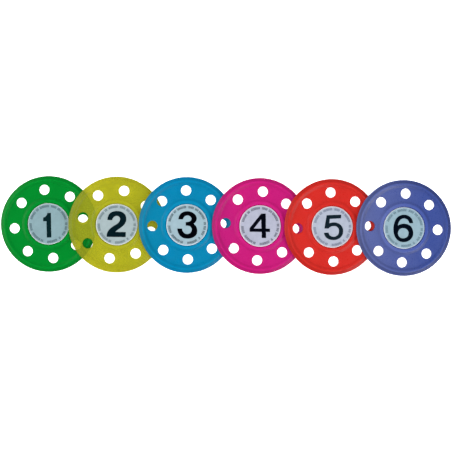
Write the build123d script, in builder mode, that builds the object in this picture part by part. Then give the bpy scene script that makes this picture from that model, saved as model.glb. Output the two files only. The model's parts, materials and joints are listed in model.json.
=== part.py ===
from build123d import *

import os
from math import cos, radians, sin

os.makedirs("parts", exist_ok=True)

# A set of six numbered spinner discs laid out in one overlapping row, 1 to 6.
# Millimetres. +X runs along the row, +Y to the top of the numerals, +Z up.
# The origin is the middle of the row's bounding box, on the table.

# ---- driving dimensions -------------------------------------------------------
disc_r = 30.0  # outside of the rim bead
rim_h = 3.2  # rim bead, tall: the disc's thickness
rim_in = 25.15  # where the bead rises out of the web
rim_crest = 27.3  # circle the bead's crest follows
rim_lip = (29.1, 2.62)  # where the bead's outer slope eases into the rounded edge
lip_fall = 0.15  # slope of the lip there
web_lo = 0.65  # underside of the web above the underside of the rim
web_hi = 2.55  # top of the web
hole_r = 3.2  # finger holes
hole_pcd = 43.0
hole_count = 8
hole_edge = 0.2  # softened edge of a finger hole
pocket_r = 13.25  # recess inside the collar
pocket_z = 1.7  # floor of the recess
collar_crest = 3.1  # top of the collar above the underside of the rim
collar_edge = 0.3  # rounding of the collar's inner edge
collar_r0 = 13.6  # crest's inner and outer edges
collar_r1 = 14.8
collar_foot = 16.8  # where the collar's outer slope meets the web
bore_r = 2.56

stem_r = 2.5  # stud the disc turns on: 0.06 mm radial clearance
play = 0.05  # axial clearance above and below the disc's floor
flange_r = 12.85  # head of the stud, which carries the label
flange_t = 1.05
flange_edge = 0.22
tail_r = 1.5  # end of the stud, pressed into the foot
tail_end = -0.1
foot_r = 10.0
foot_drop = 0.3  # how far the foot stands below the rim
foot_groove_r0 = 4.2  # moulded groove in the foot's underside
foot_groove_r1 = 7.8
foot_groove_d = 0.35
foot_edge = 0.3

label_r = 12.65
label_t = 0.12
ink_t = 0.04
tick_r0 = 10.4
tick_r1 = 11.9
tick_w = 0.3
tick_pitch = 3.0  # degrees
# spans of the ring that carry ticks, degrees anticlockwise from +X
tick_spans = [
    (2, 9), (20, 48), (53, 63), (70, 85), (94, 123), (130, 137), (144, 168),
    (184, 205), (215, 245), (250, 256), (272, 302), (311, 316), (327, 340), (346, 356),
]

web_t = web_hi - web_lo
foot_top = web_lo - play
flange_z = pocket_z + play
label_z = flange_z + flange_t
ink_z = label_z + label_t

# Middle of each disc's rim (x, y), height of its underside's centre, tilt about Y with
# the left edge up, turn of its finger holes, of its numeral and of its tick ring
# (degrees, anticlockwise). Disc 1 stands flat on its foot. Each tilt lays the others
# with the low side of the rim on the table and 0.06 mm clear of the disc to their left.
layout = [
    ("green", -110.79, -0.17, foot_drop, 0.0, 8.0, 1.9, -4.0),
    ("yellow", -68.09, -0.09, 2.005, 4.20, 33.5, 0.0, -5.7),
    ("blue", -24.36, 0.17, 2.038, 4.27, 2.1, 0.0, 0.0),
    ("magenta", 21.19, 0.04, 1.966, 4.12, 40.8, 0.0, -2.0),
    ("red", 66.11, -0.07, 1.985, 4.16, 3.0, 0.0, -2.3),
    ("purple", 110.88, -0.17, 1.995, 4.18, 42.5, 0.0, -10.0),
]

# Numeral outlines about the label's centre: runs of straight edges and of smooth
# curves, each run starting where the one before ends. The first outline of a numeral
# is its outside, any other is a counter.
line, curve = "line", "curve"
numerals = {
    1: [[
        (line, [(-0.55, 6.85), (1.62, 6.85), (1.62, -8.5), (-1.24, -8.5),
                (-1.24, 1.7), (-3.26, 1.7), (-3.26, 4.05)]),
        (curve, [(-3.26, 4.05), (-1.9, 4.55), (-1.05, 5.5), (-0.55, 6.85)]),
    ]],
    2: [[
        (line, [(-2.84, 2.75), (-5.82, 2.75)]),
        (curve, [(-5.82, 2.75), (-5.55, 4.8), (-4.5, 6.75), (-2.55, 8.05), (0.0, 8.46),
                 (2.45, 8.15), (4.35, 7.1), (5.5, 5.6), (5.9, 3.6), (5.1, 0.8),
                 (3.1, -1.45), (0.6, -3.3), (-0.9, -4.6)]),
        (line, [(-0.9, -4.6), (5.62, -4.6), (5.62, -7.72), (-6.24, -7.72)]),
        (curve, [(-6.24, -7.72), (-6.12, -6.2), (-5.5, -4.3), (-4.2, -2.65),
                 (-2.0, -0.9), (0.05, 0.35), (1.55, 1.9), (2.04, 3.4), (1.5, 4.75),
                 (0.0, 5.39), (-1.6, 4.9), (-2.5, 3.9), (-2.84, 2.75)]),
    ]],
    3: [[
        (line, [(-2.47, 3.46), (-5.45, 3.46)]),
        (curve, [(-5.45, 3.46), (-5.05, 5.3), (-3.75, 7.2), (-1.95, 8.25), (0.1, 8.57),
                 (2.2, 8.25), (4.1, 7.3), (5.5, 5.8), (6.02, 4.1), (5.5, 2.3),
                 (4.0, 0.78)]),
        (curve, [(4.0, 0.78), (5.7, -0.85), (6.44, -3.4), (5.75, -6.1), (3.6, -7.85),
                 (0.3, -8.51), (-2.9, -7.8), (-5.1, -5.6), (-5.96, -2.27)]),
        (line, [(-5.96, -2.27), (-3.06, -2.27)]),
        (curve, [(-3.06, -2.27), (-2.5, -4.1), (-1.3, -5.25), (0.15, -5.62),
                 (1.95, -5.0), (2.98, -3.2), (2.3, -1.2), (0.5, -0.45),
                 (-0.85, -0.43)]),
        (line, [(-0.85, -0.43), (-0.85, 1.75)]),
        (curve, [(-0.85, 1.75), (0.6, 1.9), (2.05, 2.5), (2.7, 3.8), (2.05, 5.2),
                 (0.3, 5.9), (-1.3, 5.45), (-2.2, 4.5), (-2.47, 3.46)]),
    ]],
    4: [
        [(line, [(0.57, 7.75), (3.37, 7.75), (3.62, -1.6), (6.19, -1.6), (6.15, -3.66),
                 (3.68, -3.66), (3.78, -7.45), (1.02, -7.45), (0.98, -3.66),
                 (-6.55, -3.66), (-6.62, -1.4), (0.57, 7.75)])],
        [(line, [(0.55, 4.15), (0.78, -1.6), (-3.97, -1.6), (0.55, 4.15)])],
    ],
    5: [[
        (line, [(-1.84, 2.3), (-1.66, 5.0), (5.39, 5.5), (5.53, 7.78), (-3.69, 7.32),
                (-4.97, -0.99), (-2.41, -0.99)]),
        (curve, [(-2.41, -0.99), (-1.15, 0.1), (0.85, 0.65), (2.5, 0.4), (3.75, -0.7),
                 (4.2, -2.5), (3.9, -4.1), (2.7, -5.5), (0.85, -6.04), (-0.5, -5.8),
                 (-1.75, -4.9), (-2.41, -3.45)]),
        (line, [(-2.41, -3.45), (-5.25, -3.69)]),
        (curve, [(-5.25, -3.69), (-4.4, -5.9), (-2.4, -7.55), (0.55, -8.14),
                 (3.1, -7.75), (5.1, -6.55), (6.5, -4.6), (6.87, -2.3), (6.2, 0.1),
                 (4.2, 2.05), (1.4, 2.89), (-0.4, 2.75), (-1.84, 2.3)]),
    ]],
    6: [
        [
            (line, [(3.12, 3.06), (5.53, 3.06)]),
            (curve, [(5.53, 3.06), (5.25, 4.6), (4.45, 6.05), (2.5, 7.65),
                     (-0.43, 8.23), (-3.2, 7.5), (-5.4, 5.3), (-6.5, 2.4),
                     (-6.87, -0.85), (-6.4, -4.1), (-4.9, -6.8), (-2.8, -8.35),
                     (-0.28, -8.8), (2.9, -7.95), (5.0, -5.8), (5.68, -3.1),
                     (5.3, -0.9), (3.9, 1.3), (1.7, 2.4), (-0.6, 2.65),
                     (-2.6, 2.25), (-4.03, 1.35)]),
            (curve, [(-4.03, 1.35), (-3.5, 3.6), (-2.2, 5.3), (-0.43, 5.96),
                     (1.2, 5.65), (2.4, 4.7), (3.12, 3.06)]),
        ],
        [(curve, [(2.74, -3.26), (1.76, -1.0), (-0.62, -0.06), (-3.0, -1.0),
                  (-3.98, -3.26), (-3.0, -5.52), (-0.62, -6.46), (1.76, -5.52),
                  (2.74, -3.26)])],
    ],
}


def seat_plane(x, y, z, tilt):
    """Underside plane of a disc whose rim is centred on x, y."""
    s, c = sin(radians(tilt)), cos(radians(tilt))
    return Plane(origin=(x - rim_h / 2 * s, y, z), x_dir=(c, 0, -s), z_dir=(s, 0, c))


def turned(plane, angle):
    """The plane turned about its own normal."""
    s, c = sin(radians(angle)), cos(radians(angle))
    x_dir = plane.x_dir * c + plane.y_dir * s
    return Plane(origin=plane.origin, x_dir=x_dir, z_dir=plane.z_dir)


def circles(builder, radius):
    """The builder's circular edges of one radius."""
    rings = builder.edges().filter_by(GeomType.CIRCLE)
    return rings.filter_by(lambda e: abs(e.radius - radius) < 0.01)


for number, row in enumerate(layout, 1):
    colour, x, y, z, tilt, hole_turn, numeral_turn, ring_turn = row
    seat = seat_plane(x, y, z, tilt)
    section = Plane(origin=seat.origin, x_dir=seat.x_dir, z_dir=-seat.y_dir)
    spin = Axis(seat.origin, seat.z_dir)
    low = (Align.MIN, Align.MIN)

    # the moulded disc: rim bead, web, collar and the floor under the stud's head
    with BuildPart() as disc:
        with BuildSketch(section):
            with BuildLine():
                Polyline(
                    (rim_in, web_lo), (bore_r, web_lo), (bore_r, pocket_z),
                    (pocket_r, pocket_z), (pocket_r, collar_crest - collar_edge),
                )
                Spline(
                    (pocket_r, collar_crest - collar_edge), (collar_r0, collar_crest),
                    tangents=[(0, 1), (1, 0)],
                )
                Line((collar_r0, collar_crest), (collar_r1, collar_crest))
                Spline(
                    (collar_r1, collar_crest), (collar_foot, web_hi),
                    tangents=[(1, 0), (1, 0)],
                )
                Line((collar_foot, web_hi), (rim_in, web_hi))
                Spline(
                    (rim_in, web_hi), (rim_crest, rim_h), tangents=[(1, 0), (1, 0)]
                )
                Spline(
                    (rim_crest, rim_h), rim_lip, tangents=[(1, 0), (1, -lip_fall)]
                )
                Spline(
                    rim_lip, (disc_r, rim_h / 2), tangents=[(1, -lip_fall), (0, -1)]
                )
                Spline(
                    (disc_r, rim_h / 2), (rim_lip[0], rim_h - rim_lip[1]),
                    tangents=[(0, -1), (-1, -lip_fall)],
                )
                Spline(
                    (rim_lip[0], rim_h - rim_lip[1]), (rim_crest, 0),
                    tangents=[(-1, -lip_fall), (-1, 0)],
                )
                Spline(
                    (rim_crest, 0), (rim_in, web_lo), tangents=[(-1, 0), (-1, 0)]
                )
            make_face()
        revolve(axis=spin)
        with BuildSketch(seat.offset(web_lo - 1)):
            with PolarLocations(hole_pcd / 2, hole_count, start_angle=hole_turn):
                Circle(hole_r)
        extrude(amount=web_t + 2, mode=Mode.SUBTRACT)
        fillet(circles(disc, hole_r), radius=hole_edge)
    disc.part.label = f"disc_{number}_{colour}"
    export_step(disc.part, f"parts/disc_{number}_{colour}.step")

    # the stud: a wide head in the collar's recess, the stem the disc turns on, a tail
    with BuildPart() as hub:
        with BuildSketch(seat.offset(flange_z)):
            Circle(flange_r)
        extrude(amount=flange_t)
        fillet(circles(hub, flange_r), radius=flange_edge)
        with BuildSketch(seat.offset(foot_top)):
            Circle(stem_r)
        extrude(amount=flange_z - foot_top)
        with BuildSketch(seat.offset(tail_end)):
            Circle(tail_r)
        extrude(amount=foot_top - tail_end)
    hub.part.label = f"hub_{number}"
    export_step(hub.part, f"parts/hub_{number}.step")

    # the foot pressed on the stud's tail: it keeps the disc on and stands on the table
    with BuildPart() as foot:
        with BuildSketch(seat.offset(-foot_drop)):
            Circle(foot_r)
            Circle(tail_r, mode=Mode.SUBTRACT)
        extrude(amount=foot_top + foot_drop)
        with BuildSketch(seat.offset(-foot_drop)):
            Circle(foot_groove_r1)
            Circle(foot_groove_r0, mode=Mode.SUBTRACT)
        extrude(amount=foot_groove_d, mode=Mode.SUBTRACT)
        fillet(circles(foot, foot_r), radius=foot_edge)
    foot.part.label = f"foot_{number}"
    export_step(foot.part, f"parts/foot_{number}.step")

    # the paper label on the stud's head
    with BuildPart() as label:
        with BuildSketch(seat.offset(label_z)):
            Circle(label_r)
        extrude(amount=label_t)
    label.part.label = f"label_{number}"
    export_step(label.part, f"parts/label_{number}.step")

    # the numeral printed on the label
    with BuildPart() as numeral:
        with BuildSketch(turned(seat.offset(ink_z), numeral_turn)):
            for turn, outline in enumerate(numerals[number]):
                with BuildLine():
                    for kind, points in outline:
                        if kind == line:
                            Polyline(*points)
                        else:
                            Spline(*points)
                make_face(mode=Mode.SUBTRACT if turn else Mode.ADD)
        extrude(amount=ink_t)
    numeral.part.label = f"numeral_{number}"
    export_step(numeral.part, f"parts/numeral_{number}.step")

    # the ring of index ticks printed round the numeral
    with BuildPart() as ring:
        with BuildSketch(turned(seat.offset(ink_z), ring_turn)):
            for start, end in tick_spans:
                count = int((end - start) / tick_pitch) + 1
                first = (start + end - (count - 1) * tick_pitch) / 2
                with PolarLocations(
                    (tick_r0 + tick_r1) / 2,
                    count,
                    start_angle=first,
                    angular_range=max(count - 1, 1) * tick_pitch,
                    endpoint=True,
                ):
                    Rectangle(tick_r1 - tick_r0, tick_w)
        extrude(amount=ink_t)
    ring.part.label = f"index_ring_{number}"
    export_step(ring.part, f"parts/index_ring_{number}.step")
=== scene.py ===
import json
import math

import bpy
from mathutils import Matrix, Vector

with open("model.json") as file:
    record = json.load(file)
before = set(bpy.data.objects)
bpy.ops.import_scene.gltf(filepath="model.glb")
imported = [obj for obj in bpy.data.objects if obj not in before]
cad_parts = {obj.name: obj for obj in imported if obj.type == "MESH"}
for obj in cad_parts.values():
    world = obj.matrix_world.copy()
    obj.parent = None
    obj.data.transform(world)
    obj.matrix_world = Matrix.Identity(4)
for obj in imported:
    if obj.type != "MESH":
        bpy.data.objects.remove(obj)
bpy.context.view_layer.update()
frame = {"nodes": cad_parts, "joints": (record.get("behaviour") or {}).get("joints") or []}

nodes = frame["nodes"]
scene = bpy.context.scene

COLOURS = ("green", "yellow", "blue", "magenta", "red", "purple")
JOINT = {j["name"]: j for j in frame["joints"]}
MM = 0.001


def rgb(r, g, b):
    """A linear colour from display numbers, 0 to 255."""
    out = []
    for v in (r, g, b):
        v /= 255.0
        out.append(v / 12.92 if v <= 0.04045 else ((v + 0.055) / 1.055) ** 2.4)
    return tuple(out) + (1.0,)


# ---- shader building ---------------------------------------------------------


class Tree:
    """A material's node tree, with short ways to add what the materials here share."""

    def __init__(self, name):
        self.mat = bpy.data.materials.new(name)
        self.mat.use_nodes = True
        self.nt = self.mat.node_tree
        self.nt.nodes.clear()
        self.out = self.add("ShaderNodeOutputMaterial")
        self.geo = self.add("ShaderNodeTexCoord").outputs["Object"]

    def add(self, kind, **values):
        n = self.nt.nodes.new(kind)
        for key, value in values.items():
            setattr(n, key, value)
        return n

    def link(self, a, b):
        self.nt.links.new(a, b)

    def feed(self, socket, value):
        if isinstance(value, bpy.types.NodeSocket):
            self.link(value, socket)
        else:
            socket.default_value = value

    def math(self, op, a, b=0.0, clamp=False):
        n = self.add("ShaderNodeMath", operation=op, use_clamp=clamp)
        self.feed(n.inputs[0], a)
        self.feed(n.inputs[1], b)
        return n.outputs[0]

    def vec(self, op, a, b):
        n = self.add("ShaderNodeVectorMath", operation=op)
        self.feed(n.inputs[0], a)
        self.feed(n.inputs[1], b)
        return n.outputs["Value"] if op in ("DOT_PRODUCT", "LENGTH", "DISTANCE") else n.outputs[0]

    def noise(self, vector, scale, detail=3.0, rough=0.55):
        n = self.add("ShaderNodeTexNoise")
        self.link(vector, n.inputs["Vector"])
        n.inputs["Scale"].default_value = scale
        n.inputs["Detail"].default_value = detail
        n.inputs["Roughness"].default_value = rough
        return n.outputs["Fac"]

    def ramp(self, value, lo, hi, to_lo=0.0, to_hi=1.0, smooth=True):
        n = self.add("ShaderNodeMapRange")
        n.interpolation_type = "SMOOTHSTEP" if smooth else "LINEAR"
        self.feed(n.inputs["Value"], value)
        for key, v in (("From Min", lo), ("From Max", hi), ("To Min", to_lo), ("To Max", to_hi)):
            n.inputs[key].default_value = v
        return n.outputs["Result"]

    def mix(self, fac, a, b, blend="MIX"):
        n = self.add("ShaderNodeMix", data_type="RGBA", blend_type=blend)
        self.feed(n.inputs["Factor"], fac)
        self.feed(n.inputs[6], a)
        self.feed(n.inputs[7], b)
        return n.outputs[2]

    def bump(self, height, strength, distance, normal=None):
        n = self.add("ShaderNodeBump")
        n.inputs["Strength"].default_value = strength
        n.inputs["Distance"].default_value = distance
        self.link(height, n.inputs["Height"])
        if normal is not None:
            self.link(normal, n.inputs["Normal"])
        return n.outputs["Normal"]


def local(t, number):
    """(place about the disc's centre in mm, distance from its axis in mm, height above
    the spin joint's place in mm)."""
    j = JOINT[f"spin_{number}"]
    centre, axis = Vector(j["pos_m"]), Vector(j["axis"]).normalized()
    rel = t.vec("SUBTRACT", t.geo, tuple(centre))
    scaled = t.add("ShaderNodeVectorMath", operation="SCALE")
    t.link(rel, scaled.inputs[0])
    scaled.inputs["Scale"].default_value = 1000.0
    rel = scaled.outputs[0]
    height = t.vec("DOT_PRODUCT", rel, tuple(axis))
    along = t.add("ShaderNodeVectorMath", operation="SCALE")
    along.inputs[0].default_value = tuple(axis)
    t.link(height, along.inputs["Scale"])
    flat = t.vec("SUBTRACT", rel, along.outputs[0])
    radius = t.vec("LENGTH", flat, (0, 0, 0))
    return rel, radius, height


def disc_plastic(number, colour, deep, see, tint, painted_relief_shading, sheen, side_sheen_painted=0.0):
    """Translucent moulded plastic. deep is the web's own colour, see how much of it is
    open to what lies behind, tint what one face lets through. painted_relief_shading holds
    the painted shade and painted highlight by which the bead's inner slope, its crest, its
    outer slope, the collar and the collar's foot differ from the web. sheen is how strongly
    the polish mirrors the lamps. side_sheen_painted is a painted sheen towards one side."""
    deep = tuple(deep) + (1.0,)
    t = Tree(f"{colour}_plastic_{number}")
    rel, radius, height = local(t, number)
    # faint flow marks from the middle outwards, softly wandering
    cloud = t.noise(rel, 0.11, 4.0, 0.6)
    fine = t.noise(rel, 1.7, 3.0, 0.6)
    grain = t.noise(rel, 7.0, 2.0, 0.5)
    mottle_and_painted_shade = t.math("ADD", t.ramp(cloud, 0.3, 0.7, -0.035, 0.035), t.ramp(fine, 0.3, 0.7, -0.012, 0.012))
    # the bead and the collar hold more plastic than the web and their slopes gather
    # painted shade and painted highlight: each band of the bead and the collar is made
    # darker or lighter for how light falls on its slope, and the outermost edge darker still
    inner, crest, outer, collar, foot = painted_relief_shading

    def painted_band(middle, half, soft, share):
        off = t.math("ABSOLUTE", t.math("SUBTRACT", radius, middle))
        return t.ramp(off, half, half + soft, share, 0.0)

    # painted shade and painted highlight band by band, then painted shade on the outermost edge
    for piece in (painted_band(26.0, 0.25, 0.8, inner), painted_band(25.4, 0.6, 2.2, inner * 0.3),
                  painted_band(27.5, 0.15, 0.6, crest), painted_band(28.6, 0.45, 0.6, outer),
                  t.ramp(radius, 29.2, 29.7, 0.0, -0.2),
                  painted_band(14.2, 0.6, 0.7, collar), painted_band(16.1, 0.5, 0.7, foot)):
        mottle_and_painted_shade = t.math("ADD", mottle_and_painted_shade, piece)
    colour_now = deep
    if side_sheen_painted:
        # painted sheen: the plastic is paler towards the disc's -X side, fading out across it
        side = t.add("ShaderNodeSeparateXYZ")
        t.link(rel, side.inputs[0])
        colour_now = t.mix(t.ramp(side.outputs["X"], -28.0, 16.0, side_sheen_painted, 0.0, smooth=False),
                           deep, (0.55, 0.55, 0.66, 1.0))
    bright = t.add("ShaderNodeHueSaturation")
    t.feed(bright.inputs["Color"], colour_now)
    t.link(t.math("ADD", mottle_and_painted_shade, 1.0), bright.inputs["Value"])
    colour_now = bright.outputs["Color"]

    b = t.add("ShaderNodeBsdfPrincipled")
    t.link(colour_now, b.inputs["Base Color"])
    scuff = t.ramp(t.noise(rel, 0.6, 5.0, 0.75), 0.52, 0.72, 0.0, 1.0)
    t.link(t.math("ADD", t.ramp(fine, 0.3, 0.7, 0.26, 0.34), t.math("MULTIPLY", scuff, 0.08)), b.inputs["Roughness"])
    b.inputs["IOR"].default_value = 1.5
    b.inputs["Specular IOR Level"].default_value = sheen
    skin = t.math("ADD", t.math("MULTIPLY", fine, 0.7), t.math("MULTIPLY", grain, 0.3))
    t.link(t.bump(skin, 0.35, 0.00006), b.inputs["Normal"])

    clear = t.add("ShaderNodeBsdfTransparent")
    clear.inputs["Color"].default_value = tuple(tint) + (1.0,)
    joined = t.add("ShaderNodeMixShader")
    joined.inputs["Fac"].default_value = see
    t.link(b.outputs[0], joined.inputs[1])
    t.link(clear.outputs[0], joined.inputs[2])
    t.link(joined.outputs[0], t.out.inputs["Surface"])
    return t.mat


def moulded(name, number, colour, rough):
    """Plain satin plastic of the studs and feet."""
    t = Tree(name)
    rel, radius, height = local(t, number)
    cloud = t.noise(rel, 0.25, 4.0, 0.6)
    fine = t.noise(rel, 3.0, 3.0, 0.6)
    shade = t.mix(t.ramp(cloud, 0.35, 0.65), tuple(v * 0.93 for v in colour[:3]) + (1.0,), colour)
    b = t.add("ShaderNodeBsdfPrincipled")
    t.link(shade, b.inputs["Base Color"])
    t.link(t.ramp(fine, 0.3, 0.7, rough - 0.05, rough + 0.06), b.inputs["Roughness"])
    b.inputs["Specular IOR Level"].default_value = 0.4
    # turning marks left by the mould, in rings about the axis
    rings = t.math("SINE", t.math("MULTIPLY", radius, 21.0))
    t.link(t.bump(t.math("ADD", t.math("MULTIPLY", rings, 0.25), fine), 0.3, 0.00004), b.inputs["Normal"])
    t.link(b.outputs[0], t.out.inputs["Surface"])
    return t.mat


def paper(number, base, edge):
    """Silvered label paper: fine fibres, a soft sheen, a paler margin."""
    t = Tree(f"label_paper_{number}")
    rel, radius, height = local(t, number)
    stretch = t.add("ShaderNodeMapping")
    t.link(rel, stretch.inputs["Vector"])
    stretch.inputs["Scale"].default_value = (1.0, 5.0, 1.0)
    stretch.inputs["Rotation"].default_value = (0.0, 0.0, 0.7 + number)
    fibre = t.noise(stretch.outputs[0], 1.9, 4.0, 0.65)
    mottle = t.noise(rel, 0.35, 4.0, 0.6)
    speck = t.noise(rel, 9.0, 2.0, 0.5)
    shade = t.mix(t.ramp(mottle, 0.3, 0.7), tuple(v * 0.93 for v in base[:3]) + (1.0,), tuple(min(1.0, v * 1.05) for v in base[:3]) + (1.0,))
    shade = t.mix(t.ramp(fibre, 0.35, 0.75, 0.0, 0.22), shade, tuple(v * 0.82 for v in base[:3]) + (1.0,))
    shade = t.mix(t.ramp(speck, 0.62, 0.8, 0.0, 0.12), shade, (0.9, 0.92, 0.93, 1.0))
    margin = t.ramp(radius, 11.6, 12.5, 0.0, 1.0)
    shade = t.mix(t.math("MULTIPLY", margin, 0.55), shade, edge)
    b = t.add("ShaderNodeBsdfPrincipled")
    t.link(shade, b.inputs["Base Color"])
    t.link(t.ramp(mottle, 0.3, 0.7, 0.42, 0.55), b.inputs["Roughness"])
    b.inputs["Specular IOR Level"].default_value = 0.35
    b.inputs["Metallic"].default_value = 0.0
    t.link(t.bump(t.math("ADD", fibre, t.math("MULTIPLY", speck, 0.4)), 0.25, 0.00003), b.inputs["Normal"])
    t.link(b.outputs[0], t.out.inputs["Surface"])
    return t.mat


def ink(name, number, colour, patchy):
    """Printed ink: near even, a little starved where the paper's grain is high."""
    t = Tree(name)
    rel, radius, height = local(t, number)
    fine = t.noise(rel, 5.0, 4.0, 0.7)
    wide = t.noise(rel, 0.6, 3.0, 0.6)
    lift = tuple(min(1.0, v * 1.3 + 0.012) for v in colour[:3]) + (1.0,)
    shade = t.mix(t.ramp(fine, 0.55, 0.8, 0.0, patchy), colour, lift)
    shade = t.mix(t.ramp(wide, 0.4, 0.7, 0.0, patchy * 0.5), shade, lift)
    b = t.add("ShaderNodeBsdfPrincipled")
    t.link(shade, b.inputs["Base Color"])
    t.link(t.ramp(fine, 0.3, 0.7, 0.38, 0.5), b.inputs["Roughness"])
    b.inputs["Specular IOR Level"].default_value = 0.012
    t.link(t.bump(fine, 0.2, 0.00002), b.inputs["Normal"])
    t.link(b.outputs[0], t.out.inputs["Surface"])
    return t.mat


def dress(name, mat):
    """Gives a CAD node its material."""
    o = nodes[name]
    if not o.material_slots:
        o.data.materials.append(mat)
    for s in o.material_slots:
        s.material = mat


# the web's own colour, how much of it is open to what lies behind, and the tint of that
# on its way through one face, all linear, the painted shade and painted highlight of its moulded bands, its sheen,
# and for the purple disc a painted sheen towards one side.
PLASTIC = {
    "green": ((0.0000, 0.2063, 0.0210), 0.35, (0.02, 0.45, 0.12), (-0.03, 0.09, -0.17, 0.07, -0.07), 0.09),
    "yellow": ((0.2809, 0.3174, 0.0156), 0.53, (0.86, 0.78, 0.14), (-0.05, -0.05, -0.18, 0.08, 0.0), 0.18),
    "blue": ((0.0000, 0.1851, 0.3208), 0.33, (0.03, 0.42, 0.80), (-0.08, 0.07, -0.18, 0.10, -0.06), 0.14),
    "magenta": ((0.4244, 0.0089, 0.1596), 0.35, (0.80, 0.08, 0.30), (-0.07, 0.08, -0.24, 0.10, -0.06), 0.15),
    "red": ((0.4938, 0.0195, 0.0141), 0.30, (0.65, 0.10, 0.06), (-0.08, 0.01, -0.27, 0.0, -0.06), 0.18),
    "purple": ((0.0325, 0.0585, 0.2317), 0.28, (0.32, 0.34, 0.62), (-0.15, 0.03, -0.42, 0.22, -0.12), 0.32, 0.10),
}
# each label's tone and the tone of its unprinted margin, linear: partly the paper's own tint, and labels 1 and 6 at
# the ends of the row darker than the rest by painted shade
LABEL_TONE_AND_END_SHADE = {
    1: ((0.1428, 0.2249, 0.2484), (0.215, 0.274, 0.299)),
    2: ((0.2212, 0.2770, 0.2873), (0.303, 0.334, 0.362)),
    3: ((0.1995, 0.2841, 0.3261), (0.255, 0.327, 0.385)),
    4: ((0.2610, 0.2708, 0.3420), (0.337, 0.313, 0.377)),
    5: ((0.2569, 0.2826, 0.3481), (0.348, 0.32, 0.362)),
    6: ((0.1712, 0.2566, 0.3024), (0.205, 0.274, 0.355)),
}

# the numerals' ink, near black, and the paler ink of the rings of ticks, linear
PRINT = {
    1: (0.0010, 0.0090, 0.0110), 2: (0.0005, 0.0055, 0.0080), 3: (0.0000, 0.0002, 0.0010),
    4: (0.0003, 0.0005, 0.0025), 5: (0.0030, 0.0080, 0.0130), 6: (0.0000, 0.0012, 0.0042),
}
INDEX = {
    1: (0.026, 0.048, 0.060), 2: (0.045, 0.070, 0.085), 3: (0.002, 0.006, 0.010),
    4: (0.008, 0.010, 0.020), 5: (0.055, 0.068, 0.105), 6: (0.045, 0.080, 0.105),
}

for number, colour in enumerate(COLOURS, 1):
    dress(f"disc_{number}_{colour}", disc_plastic(number, colour, *PLASTIC[colour]))
    dress(f"hub_{number}", moulded(f"stud_plastic_{number}", number, rgb(222, 226, 226), 0.4))
    dress(f"foot_{number}", moulded(f"foot_plastic_{number}", number, rgb(214, 218, 218), 0.45))
    base, edge = (c + (1.0,) for c in LABEL_TONE_AND_END_SHADE[number])
    dress(f"label_{number}", paper(number, base, edge))
    dress(f"numeral_{number}", ink(f"print_ink_{number}", number, PRINT[number] + (1.0,), 0.05))
    dress(f"index_ring_{number}", ink(f"index_ink_{number}", number, INDEX[number] + (1.0,), 0.45))

# ---- floor, light, camera ------------------------------------------------------

bpy.ops.mesh.primitive_plane_add(size=6.0, location=(0, 0, -0.00005))
floor = bpy.context.object
floor.name = "floor"
t = Tree("floor_pale")
b = t.add("ShaderNodeBsdfPrincipled")
b.inputs["Base Color"].default_value = (0.86, 0.86, 0.86, 1.0)
b.inputs["Roughness"].default_value = 0.9
b.inputs["Specular IOR Level"].default_value = 0.1
glow = t.add("ShaderNodeEmission")
glow.inputs["Color"].default_value = (1.0, 1.0, 1.0, 1.0)
# seen directly from above, the floor is a clean white sheet, and from lower down it shows
# the discs' soft shadows and is white again further off; what shows through a disc, and
# what lights the discs from below, is the floor as it's really lit
path = t.add("ShaderNodeLightPath")
plain = t.math("LESS_THAN", path.outputs["Transparent Depth"], 0.5)
direct = t.math("MULTIPLY", path.outputs["Is Camera Ray"], plain)
sight = t.add("ShaderNodeNewGeometry")
steep = t.vec("DOT_PRODUCT", sight.outputs["Incoming"], sight.outputs["True Normal"])
away = t.ramp(t.vec("LENGTH", t.geo, (0, 0, 0)), 0.22, 0.5, 0.0, 0.9)
sheet = t.math("MAXIMUM", t.ramp(steep, 0.84, 0.95, 0.0, 0.7), away)
direct = t.math("MULTIPLY", direct, sheet)
t.link(t.math("ADD", direct, 0.2), glow.inputs["Strength"])
both = t.add("ShaderNodeAddShader")
t.link(b.outputs[0], both.inputs[0])
t.link(glow.outputs[0], both.inputs[1])
t.link(both.outputs[0], t.out.inputs["Surface"])
floor.data.materials.append(t.mat)

world = bpy.data.worlds.new("studio")
scene.world = world
world.use_nodes = True
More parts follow.
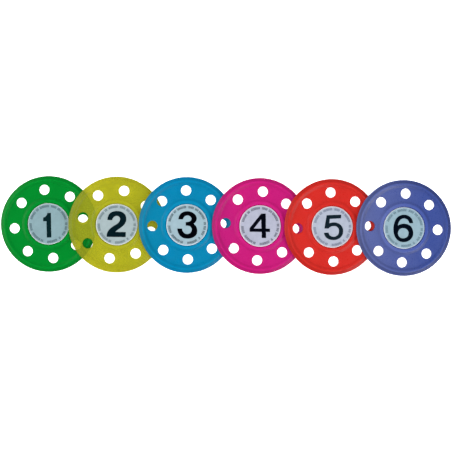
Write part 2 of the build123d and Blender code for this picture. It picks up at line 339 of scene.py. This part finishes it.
# a light tent that's dark straight overhead, so flat faces keep their full colour and
# only slopes pick up a sheen
wt = world.node_tree
bg = wt.nodes["Background"]
bg.inputs["Color"].default_value = (1.0, 1.0, 1.0, 1.0)
where = wt.nodes.new("ShaderNodeTexCoord")
split = wt.nodes.new("ShaderNodeSeparateXYZ")
tent = wt.nodes.new("ShaderNodeMapRange")
tent.interpolation_type = "SMOOTHSTEP"
wt.links.new(where.outputs["Generated"], split.inputs[0])
wt.links.new(split.outputs["Z"], tent.inputs["Value"])
for key, v in (("From Min", 0.60), ("From Max", 0.90), ("To Min", 0.60), ("To Max", 0.05)):
    tent.inputs[key].default_value = v
# the backdrop itself is as white as the floor
seen = wt.nodes.new("ShaderNodeLightPath")
level = wt.nodes.new("ShaderNodeMath")
level.operation = "MAXIMUM"
wt.links.new(tent.outputs["Result"], level.inputs[0])
wt.links.new(seen.outputs["Is Camera Ray"], level.inputs[1])
wt.links.new(level.outputs[0], bg.inputs["Strength"])


def lamp(name, place, size, power, aim=(0, 0, 0), sheen=True):
    data = bpy.data.lights.new(name, "AREA")
    data.shape = "SQUARE"
    data.size = size
    data.energy = power
    o = bpy.data.objects.new(name, data)
    scene.collection.objects.link(o)
    o.location = place
    o.rotation_euler = (Vector(aim) - Vector(place)).to_track_quat("-Z", "Y").to_euler()
    o.visible_glossy = sheen


lamp("key", (-1.70, 0.24, 1.24), 1.9, 46.0)
lamp("fill", (0.75, -0.45, 0.85), 0.7, 8.0)
# polarised light from beside the camera: it fills the holes and leaves no glare
lamp("over", (0.0, 0.0, 1.1), 0.45, 9.1, sheen=False)

cam_data = bpy.data.cameras.new("camera")
cam = bpy.data.objects.new("camera", cam_data)
scene.collection.objects.link(cam)
cam_data.sensor_width = 36.0
cam_data.lens = 85.0
half_width = 0.1413
cam.location = (0.0, -0.0002, 0.002 + half_width / (18.0 / 85.0))
cam.rotation_euler = (0.0, 0.0, math.radians(0.66))
cam_data.clip_start = 0.01
cam_data.clip_end = 10.0
scene.camera = cam
scene.view_settings.view_transform = "Standard"
scene.view_settings.look = "None"
